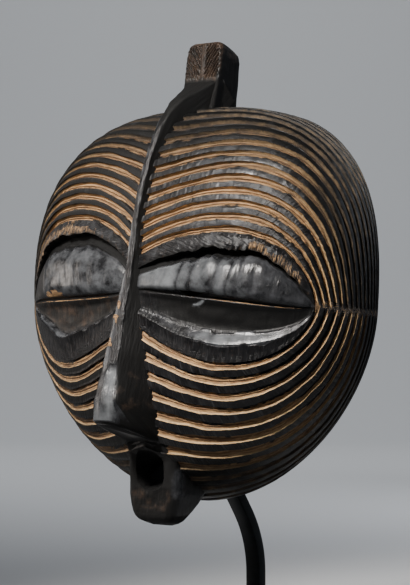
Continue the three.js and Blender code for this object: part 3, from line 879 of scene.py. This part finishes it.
def mouth_relief(x, y, z, face):
    """Adze facets, worn brown low on the front, painted shade over the block, deepest where the nose's
    painted shadow falls round the hole and under the block, with a painted lit patch and polish on the right
    corner.
    """
    facets = 0.4 * dimples(420, x + y + 90, z + 300, 10, 9) + 0.2 * dimples(421, x + y + 90, z + 300, 3.5, 3)
    front = clamp01(1 - face)
    worn = (0.32 * front + 0.12 * (1 - front)) * until(z, -124, 20) * past(z, -182, 6)
    # A painted lit patch with polish on the right corner, outside the nose's painted shadow
    corner = near(x + y, -38, 14) * until(z, -138, 8) * past(z, -172, 10) * (x > 0)
    # Deep painted shade: the nose's shadow above and the shade under the block
    painted_shade = np.maximum(past(z, -164, 10), until(z, -180, 3)) * (1 - corner)
    return facets, marks_of(
        brown=worn * (1 - painted_shade) * (1 - corner), burnish=corner, grime=np.maximum(2 * painted_shade, 1 - corner),
        along=x + y, across=z,
    )


def mouth_hole_skin():
    middle, tall = (OPENING.top + OPENING.bottom) / 2, (OPENING.top - OPENING.bottom) / 2
    flares = [
        (OPENING.front, 6), (OPENING.face - 2, 2.4), (OPENING.face + 1.5, 0),
        (OPENING.face + 6, -3), (OPENING.face + 14, -7), (OPENING.back, -8.6),
    ]
    # Deep painted shade inside the mouth's hole
    in_shade = marks_of(grime=2)
    rows = []
    for forward, flare in flares:
        outline = rounded(OPENING.half_width, tall, OPENING.corner, 6, flare, math.pi)
        rows.append(([(x, forward, middle + z) for x, z in outline], in_shade))
    return Skin().capped(rows, high=in_shade)


SLIT_SLOPE = 0.6             # the slits run upwards into the mask


def slit_skin(face):
    """The slit through the eye, a little ragged, with a chip in the right eye's lower lip."""
    half = SLIT_WIDTH / 2 / (DEPTH + HALF_WIDTH) * DISC
    share = np.linspace(0, 1, 60)
    across = face.reach * mix(SLIT_SPAN[0], SLIT_SPAN[1], share)
    thin = half * np.sin(math.pi * mix(0.12, 0.9, share)) ** 0.5
    ragged = 0.22 * wander(face.seed + 30, across, 5) + 0.12 * wander(face.seed + 31, across, 1.8)
    chip = chip_drop(across / face.reach, face) * (1 + 0.3 * wander(face.seed + 32, across, 2.5))
    lower = -thin + ragged * 0.5 - chip
    edges = [
        (16, thin + ragged), (16, lower), (-8, lower), (-12, -thin),
        (-26, -thin), (-26, thin), (-4, thin + ragged),
    ]
    rows = []
    for lift, aside in edges:
        slope = SLIT_SLOPE * max(-18, min(lift, 0))
        rows.append(outer.lifted(across, slit_line(across, face) + aside - slope, lift))
    rows = np.stack(rows, 1) * (face.side, 1, 1)
    return Skin().capped([(row, marks_of(brown=0.8)) for row in rows])


def found_marks(mesh, skins, skin_of_slot):
    """For each corner of each face, the marks of the nearest point of the skin that the face comes from."""
    slots = np.zeros(len(mesh.polygons), dtype=int)
    corners = np.zeros(len(mesh.polygons), dtype=int)
    vertices = np.zeros(len(mesh.loops), dtype=int)
    mesh.polygons.foreach_get("material_index", slots)
    mesh.polygons.foreach_get("loop_total", corners)
    mesh.loops.foreach_get("vertex_index", vertices)
    corner_skins = np.repeat(skin_of_slot[slots], corners)
    pairs, back = np.unique(np.stack([corner_skins, vertices]), axis=1, return_inverse=True)
    found = np.zeros((pairs.shape[1], len(MARKS)))
    for i, skin in enumerate(skins):
        tree = KDTree(skin.count)
        for k, point in enumerate(skin.all_points()):
            tree.insert(point, k)
        tree.balance()
        mine = np.nonzero(pairs[0] == i)[0]
        if len(mine):
            nearest = [tree.find(mesh.vertices[v].co)[1] for v in pairs[1, mine]]
            found[mine] = skin.all_marks()[nearest]
    return found[back.ravel()]


def carve(name, base, additions, cuts):
    """Joins and cuts closed skins into one object, whose faces keep their skins' marks."""
    skins = [base] + additions + cuts
    bodies = []
    source = {}
    for i, skin in enumerate(skins):
        bodies.append(skin.body(f"{name}_source_{i}"))
        label = bpy.data.materials.new(f"{name}_source_{i}")
        source[label.name] = i
        bodies[-1].data.materials.append(label)
    for i, other in enumerate(bodies[1:]):
        step = bodies[0].modifiers.new("join", "BOOLEAN")
        step.operation = "UNION" if i < len(additions) else "DIFFERENCE"
        step.solver = "MANIFOLD"
        step.material_mode = "TRANSFER"
        step.object = other
    graph = bpy.context.evaluated_depsgraph_get()
    mesh = bpy.data.meshes.new_from_object(bodies[0].evaluated_get(graph))
    for body in bodies:
        bpy.data.objects.remove(body)

    found = found_marks(mesh, skins, np.array([source[label.name] for label in mesh.materials]))
    for column, label in enumerate(MARKS[:-2]):
        mesh.attributes.new(label, "FLOAT", "CORNER").data.foreach_set("value", found[:, column])
    flow = np.stack([found[:, -2] * MM, found[:, -1] * MM, np.zeros(len(found))], -1)
    mesh.attributes.new("flow", "FLOAT_VECTOR", "CORNER").data.foreach_set("vector", flow.ravel())
    for label in list(mesh.materials):
        bpy.data.materials.remove(label)
    mesh.materials.clear()
    mesh.polygons.foreach_set("material_index", [0] * len(mesh.polygons))
    mesh.shade_smooth()
    mesh.set_sharp_from_angle(angle=math.radians(38))
    return placed(name, mesh)


# Materials
def colour(hex_code):
    """A linear colour from an sRGB hex value."""
    parts = [int(hex_code[i:i + 2], 16) / 255 for i in (1, 3, 5)]
    return tuple(p / 12.92 if p <= 0.04045 else ((p + 0.055) / 1.055) ** 2.4 for p in parts) + (1,)


def add(tree, kind, fill=(), give=0, **settings):
    """Adds a node with its settings, fills its inputs with values or links, and gives back an output."""
    made = tree.nodes.new("ShaderNode" + kind)
    for name, value in settings.items():
        setattr(made, name, value)
    for key, value in fill.items() if isinstance(fill, dict) else enumerate(fill):
        if isinstance(value, bpy.types.NodeSocket):
            tree.links.new(value, made.inputs[key])
        else:
            made.inputs[key].default_value = value
    return made.outputs[give]


NOISE_RANGE = 0.3, 0.7       # nearly all of a noise lies in it


def layered(tree, base, *layers):
    """A base colour under tints. A tint shows more as its value goes from low to high, up to its cover."""
    surface = colour(base)
    for value, low, high, cover, tint in layers:
        share = add(tree, "MapRange", (value, low, high, 0, cover))
        surface = add(tree, "Mix", {0: share, 6: surface, 7: colour(tint)}, 2, data_type="RGBA")
    return surface


def patchy(tree, value, mottle, sway, low, high):
    """How far a mark has gone from low to high, once the mottle has swayed it."""
    swayed = add(tree, "MapRange", (mottle, *NOISE_RANGE, -sway, sway))
    total = add(tree, "Math", (value, swayed), operation="ADD")
    return add(tree, "MapRange", (total, low, high))


def new_material(name):
    material = bpy.data.materials.new(name)
    material.use_nodes = True
    return material, material.node_tree, material.node_tree.nodes["Principled BSDF"]


# The wood's marks: the frame they lie in, their real sizes in metres and their detail. Flow is a band's own
# frame, with sizes along it and across it
WOOD_NOISE = {
    "streak": ("flow", (0.045, 0.0011, 1), 3),    # fibres torn along a groove, a little coarser than they are
    "short": ("flow", (0.009, 0.0009, 1), 3),
    "knife": ("flow", (0.0023, 0.014, 1), 2),     # facets left by a knife that trimmed the bands crosswise
    "facet": ("flow", (0.006, 0.02, 1), 1),
    "ragged": ("object", (0.0032,) * 3, 4),
    "mottle": ("object", (0.011,) * 3, 6),
    "cloud": ("object", (0.045,) * 3, 3),
    "speck": ("object", (0.0015,) * 3, 3),
}
WOOD_IOR = 1.4


def bare_wood(tree, mark, noise):
    """Where a groove is bare, from its outer edge inwards, as wide as raw says and both edges ragged, and its
    colour: streaked, palest at the outer lip with a painted highlight, dark where two gouge cuts meet,
    darkest in the deep corner, partly dirt and partly painted shade, and darkened where the grime mark holds
    dirt and painted shade."""
    in_groove = add(tree, "Math", (mark["lane"],), operation="FRACT")
    from_edge = add(tree, "Math", (0.5, in_groove), operation="SUBTRACT")
    tear = add(tree, "MapRange", (noise["ragged"], *NOISE_RANGE, -0.012, 0.008))
    from_edge = add(tree, "Math", (from_edge, tear), operation="ADD")
    swell = add(tree, "MapRange", (noise["short"], *NOISE_RANGE, 0.75, 1.12))
    width = add(tree, "Math", (mark["raw"], swell), operation="MULTIPLY")
    left = add(tree, "Math", (width, from_edge), operation="SUBTRACT")
    outer_edge = add(tree, "MapRange", (from_edge, -0.005, 0.015))
    inner_edge = add(tree, "MapRange", (left, 0, 0.04))
    bare = add(tree, "Math", (outer_edge, inner_edge), operation="MULTIPLY")

    depth = add(tree, "Math", (from_edge, width), operation="DIVIDE", use_clamp=True)
    cuts_meet = add(tree, "MapRange", (noise["cloud"], *NOISE_RANGE, 0.35, 0.7))
    off_line = add(tree, "Math", (depth, cuts_meet), operation="SUBTRACT")
    off_line = add(tree, "Math", (off_line,), operation="ABSOLUTE")
    return bare, layered(
        tree, "#5e4632",
        (noise["streak"], 0.34, 0.66, 1, "#b08b62"),
        (noise["short"], 0.48, 0.7, 0.7, "#c9a475"),
        # Palest at the outer lip: a painted highlight
        (depth, 0.2, 0.02, 0.7, "#e6c391"),
        (off_line, 0.14, 0.03, 0.75, "#543824"),
        # Darkest in the deep corner: partly dirt, partly painted shade
        (depth, 0.9, 1, 0.6, "#35251b"),
        # Darkened by the grime mark's dirt and painted shade
        (patchy(tree, mark["grime"], noise["mottle"], 0.15, 0, 1), 0, 1, 0.95, "#241f1b"),
    )


def stained_hardwood():
    """Dense hardwood stained with charcoal and oil: dark bands with a greasy sheen on every knife facet, bare
    wood where the gouge has cut through the stain, and a polish where hands have worn it. Paler grey on the
    knife facets is a painted sheen, the polish and its silvery rub carry painted highlights, and the dark
    marks add painted shade."""
    material, tree, shader = new_material("charcoal_stained_hardwood")
    mark = {}
    for label in MARKS[:-2]:
        mark[label] = add(tree, "Attribute", give="Fac", attribute_name=label)
    frames = {
        "flow": add(tree, "Attribute", give="Vector", attribute_name="flow"),
        "object": add(tree, "TexCoord", give="Object"),
    }
    noise = {}
    for label, (lies_in, size, detail) in WOOD_NOISE.items():
        scaled = add(tree, "VectorMath", (frames[lies_in], tuple(1 / s for s in size)), operation="MULTIPLY")
        drawn = {"Vector": scaled, "Scale": 1, "Detail": detail, "Roughness": 0.6}
        noise[label] = add(tree, "TexNoise", drawn)
    mottle = noise["mottle"]

    black = layered(
        tree, "#0b0b0d",
        (mottle, 0.35, 0.7, 1, "#1c1c1e"),
        # Paler grey along the knife facets: a painted sheen
        (noise["knife"], 0.58, 0.75, 0.6, "#48484a"),
        (noise["speck"], 0.62, 0.72, 0.5, "#4a3526"),
    )
    worn = layered(tree, "#17181a", (mottle, 0.35, 0.68, 1, "#404144"))
    speckle = add(tree, "Math", (noise["speck"], mottle), operation="MULTIPLY")
    brown = layered(tree, "#120d0b", (speckle, 0.15, 0.38, 1, "#4a3a2e"))
    hollow = layered(tree, "#35241a", (mottle, 0.35, 0.7, 1, "#6f4d33"))
    bare, tan = bare_wood(tree, mark, noise)
    # The grime mark above 1 is deep painted shade
    painted_shade = add(tree, "MapRange", (mark["grime"], 1, 2))
    # Polish, which also carries painted sheen
    polish_and_sheen = patchy(tree, mark["burnish"], mottle, 0.25, 0.25, 0.8)
    # Burnish above 1: a silvery rub, partly wear and partly a painted highlight
    rubbed_and_highlit = patchy(tree, mark["burnish"], mottle, 0.3, 1, 2.2)
    dry = patchy(tree, mark["brown"], mottle, 0.25, 0.3, 0.75)

    # What lies over the stain, from below: how much of it shows, its colour and its roughness
    surface = black
    gloss = add(tree, "MapRange", (mottle, *NOISE_RANGE, 0.36, 0.54))
    for share, layer, rough in (
        # The grime mark's dirt and painted shade, then deep painted shade, then polish and the rub with
        # painted highlights
        (mark["grime"], colour("#070707"), 0.5),
        (painted_shade, colour("#030303"), 0.85),
        (polish_and_sheen, worn, 0.27),
        (rubbed_and_highlit, colour("#6e7174"), 0.21),
        (dry, brown, 0.55),
        (bare, tan, 0.72),
        (mark["inside"], hollow, 0.75),
    ):
        surface = add(tree, "Mix", {0: share, 6: surface, 7: layer}, 2, data_type="RGBA")
        gloss = add(tree, "Mix", {0: share, 2: gloss, 3: rough}, data_type="FLOAT")
    tree.links.new(surface, shader.inputs["Base Color"])
    tree.links.new(gloss, shader.inputs["Roughness"])

    fibres = add(tree, "Math", (noise["short"], bare), operation="MULTIPLY")
    fine = add(tree, "Math", (polish_and_sheen, mark["grime"]), operation="ADD")
    rough_cut = add(tree, "MapRange", (fine, 0, 1, 2.6, 0.5))
    trimmed = add(tree, "Math", (noise["knife"], rough_cut, noise["facet"]), operation="MULTIPLY_ADD")
    relief = add(tree, "Math", (fibres, 1.2, trimmed), operation="MULTIPLY_ADD")
    relief = add(tree, "Math", (noise["speck"], 0.3, relief), operation="MULTIPLY_ADD")
    bump = add(tree, "Bump", {"Strength": 0.8, "Distance": 0.0007, "Height": relief})
    tree.links.new(bump, shader.inputs["Normal"])
    shader.inputs["IOR"].default_value = WOOD_IOR
    return material


# Real sizes of the steel's marks, in metres
MILL_SCALE = 0.006
WAX_CLOUD = 0.04


def blackened_steel():
    """Mild steel bar blackened and waxed: nearly black, with a soft blue sheen and faint mill scale."""
    material, tree, shader = new_material("blackened_steel")
    place = add(tree, "TexCoord", give="Object")
    scale = add(tree, "TexNoise", {"Vector": place, "Scale": 1 / MILL_SCALE, "Detail": 5, "Roughness": 0.65})
    cloud = add(tree, "TexNoise", {"Vector": place, "Scale": 1 / WAX_CLOUD, "Detail": 3})
    both = add(tree, "Math", (scale, cloud), operation="MULTIPLY")
    tint = layered(tree, "#0a0c0e", (both, 0.15, 0.4, 1, "#15191d"))
    rough = add(tree, "MapRange", (scale, *NOISE_RANGE, 0.36, 0.54))
    bump = add(tree, "Bump", {"Strength": 0.35, "Distance": 0.0003, "Height": scale})
    tree.links.new(tint, shader.inputs["Base Color"])
    tree.links.new(rough, shader.inputs["Roughness"])
    tree.links.new(bump, shader.inputs["Normal"])
    shader.inputs["Metallic"].default_value = 0.85
    return material


# Stand
def bar_line():
    """The bar's middle line in the plane X = 0, as (back, height, tilt forward), in the row frame."""
    radius, angle, steps = BEND.radius, BEND.angle, BEND.steps
    inside = POST.inside_behind
    line = [(POST.behind, rod_low[2] - RIM_CENTRE[2], 0)]
    for turn in np.linspace(0, angle, steps + 1):
        back = POST.behind - radius * (1 - math.cos(turn))
        line.append((back, POST.bend_start + radius * math.sin(turn), turn))
    back, height, _ = line[-1]
    straight = (back - inside - radius * (1 - math.cos(angle))) / math.tan(angle)
    turn_height = height + straight + radius * math.sin(angle)
    for turn in np.linspace(angle, 0, steps + 1):
        line.append((inside + radius * (1 - math.cos(turn)), turn_height - radius * math.sin(turn), turn))
    line.append((inside, rod_high[2] - RIM_CENTRE[2], 0))
    return [(back + RIM_CENTRE[1], height + RIM_CENTRE[2], turn) for back, height, turn in line]


def bent_bar():
    section = rounded(BAR.width / 2, BAR.thick / 2, BAR.edge, 3)
    rings = []
    for back, height, turn in bar_line():
        ring = [(x, back + y * math.cos(turn), height + y * math.sin(turn)) for x, y in section]
        rings.append((ring, 0))
    made = Skin().capped(rings).body("bent_bar", leaning=False)
    made.data.shade_smooth()
    made.data.set_sharp_from_angle(angle=math.radians(50))
    return made


wood = stained_hardwood()
steel = blackened_steel()

crest_heights = np.concatenate([np.linspace(172, 200, 12), np.linspace(201, 239.5, 42)])
mouth_heights = np.linspace(-98, -191, 52)
carved_mask = carve(
    "carved_mask",
    dome_skin(),
    [
        ridge_skin(),
        block_skin(CREST, crest_heights, 40, 10, crest_relief),
        block_skin(MOUTH, mouth_heights, 18, 10, mouth_relief),
    ],
    [hollow_skin(), mouth_hole_skin(), *map(slit_skin, SIDES)],
)
carved_mask.data.materials.append(wood)
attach(carved_mask, "root")
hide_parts("mask")

bar = bent_bar()
bar.data.materials.append(steel)
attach(bar, "root")
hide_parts("stand_rod")

foot = frame["nodes"]["stand_foot"]
foot.data.materials.clear()
foot.data.materials.append(steel)
eased = foot.modifiers.new("eased_edges", "BEVEL")
eased.width = 0.6 * MM
eased.segments = 2
eased.limit_method = "ANGLE"
eased.angle_limit = math.radians(30)


# Stage, in metres: a pale sweep, flat under the mask and curved up behind it
SWEEP = SimpleNamespace(front=-12, start=4, radius=2, top=7, half_width=14, steps=24)


def sweep_point(aside, away, height):
    """A place on the stage: aside to the camera's right, away from it past the mask, and up."""
    sin, cos = math.sin(VIEW_AZIMUTH), math.cos(VIEW_AZIMUTH)
    return aside * cos - away * sin, aside * sin + away * cos, height


def floor():
    radius = SWEEP.radius
    line = [(SWEEP.front, 0)]
    for turn in np.linspace(0, math.pi / 2, SWEEP.steps + 1):
        line.append((SWEEP.start + radius * math.sin(turn), radius * (1 - math.cos(turn))))
    line.append((SWEEP.start + radius, SWEEP.top))
    points = []
    for away, height in line:
        points += [sweep_point(side * SWEEP.half_width, away, height) for side in (-1, 1)]
    faces = [(2 * i, 2 * i + 1, 2 * i + 3, 2 * i + 2) for i in range(len(line) - 1)]
    mesh = bpy.data.meshes.new("floor")
    mesh.from_pydata(points, [], faces)
    mesh.shade_smooth()
    material, _, shader = new_material("pale_matte_paper")
    shader.inputs["Base Color"].default_value = colour("#d5d6d7")
    shader.inputs["Roughness"].default_value = 0.9
    mesh.materials.append(material)
    placed("floor", mesh)


def lamp(name, place, aim, size, power, tint, spread=180):
    light = bpy.data.lights.new(name, "AREA")
    light.shape = "DISK"
    light.size = size
    light.energy = power
    light.color = colour(tint)[:3]
    light.spread = math.radians(spread)
    made = placed(name, light)
    made.location = place
    made.rotation_euler = (Vector(aim) - Vector(place)).to_track_quat("-Z", "Y").to_euler()


def world():
    sky = bpy.data.worlds.new("studio")
    bpy.context.scene.world = sky
    sky.use_nodes = True
    background = sky.node_tree.nodes["Background"]
    background.inputs["Color"].default_value = colour("#c4c8cc")
    background.inputs["Strength"].default_value = 0.06


def camera():
    view = bpy.data.cameras.new("camera")
    view.sensor_width = SENSOR
    view.lens = SENSOR * FOCAL_PIXELS / IMAGE_HEIGHT
    view.shift_x = (IMAGE_WIDTH / 2 - RIM_CENTRE_PIXEL[0]) / IMAGE_HEIGHT
    view.shift_y = (RIM_CENTRE_PIXEL[1] - IMAGE_HEIGHT / 2) / IMAGE_HEIGHT
    view.clip_end = 100
    made = placed("camera", view)
    away = Vector((
        math.sin(VIEW_AZIMUTH) * math.cos(VIEW_ELEVATION),
        -math.cos(VIEW_AZIMUTH) * math.cos(VIEW_ELEVATION),
        math.sin(VIEW_ELEVATION),
    ))
    made.location = Vector(RIM_CENTRE * MM) + away * VIEW_DISTANCE * MM
    made.rotation_euler = (-away).to_track_quat("-Z", "Y").to_euler()
    bpy.context.scene.camera = made


floor()
world()
aim = tuple(RIM_CENTRE * MM)
lamp("key", (0.1, -1.67, 1.72), aim, 0.45, 2.05, "#fffaf4", 20)
lamp("side_strip", (-1.9, -0.75, 0.6), aim, 0.8, 0.6, "#fff3e8", 40)
lamp("fill", (2.2, -1.6, 0.7), aim, 1.6, 0.8, "#dfe8f2")
lamp("back_light", (1.4, 1.7, 1.3), aim, 1.2, 10, "#e8f0ff")
lamp("rear_fill", (-0.2, 2.0, 0.9), aim, 1.2, 13, "#f2f5fa")
lamp("sweep_light", sweep_point(0, 2.2, 3), sweep_point(0, 6, 1), 2, 90, "#f4f7fb")
camera()
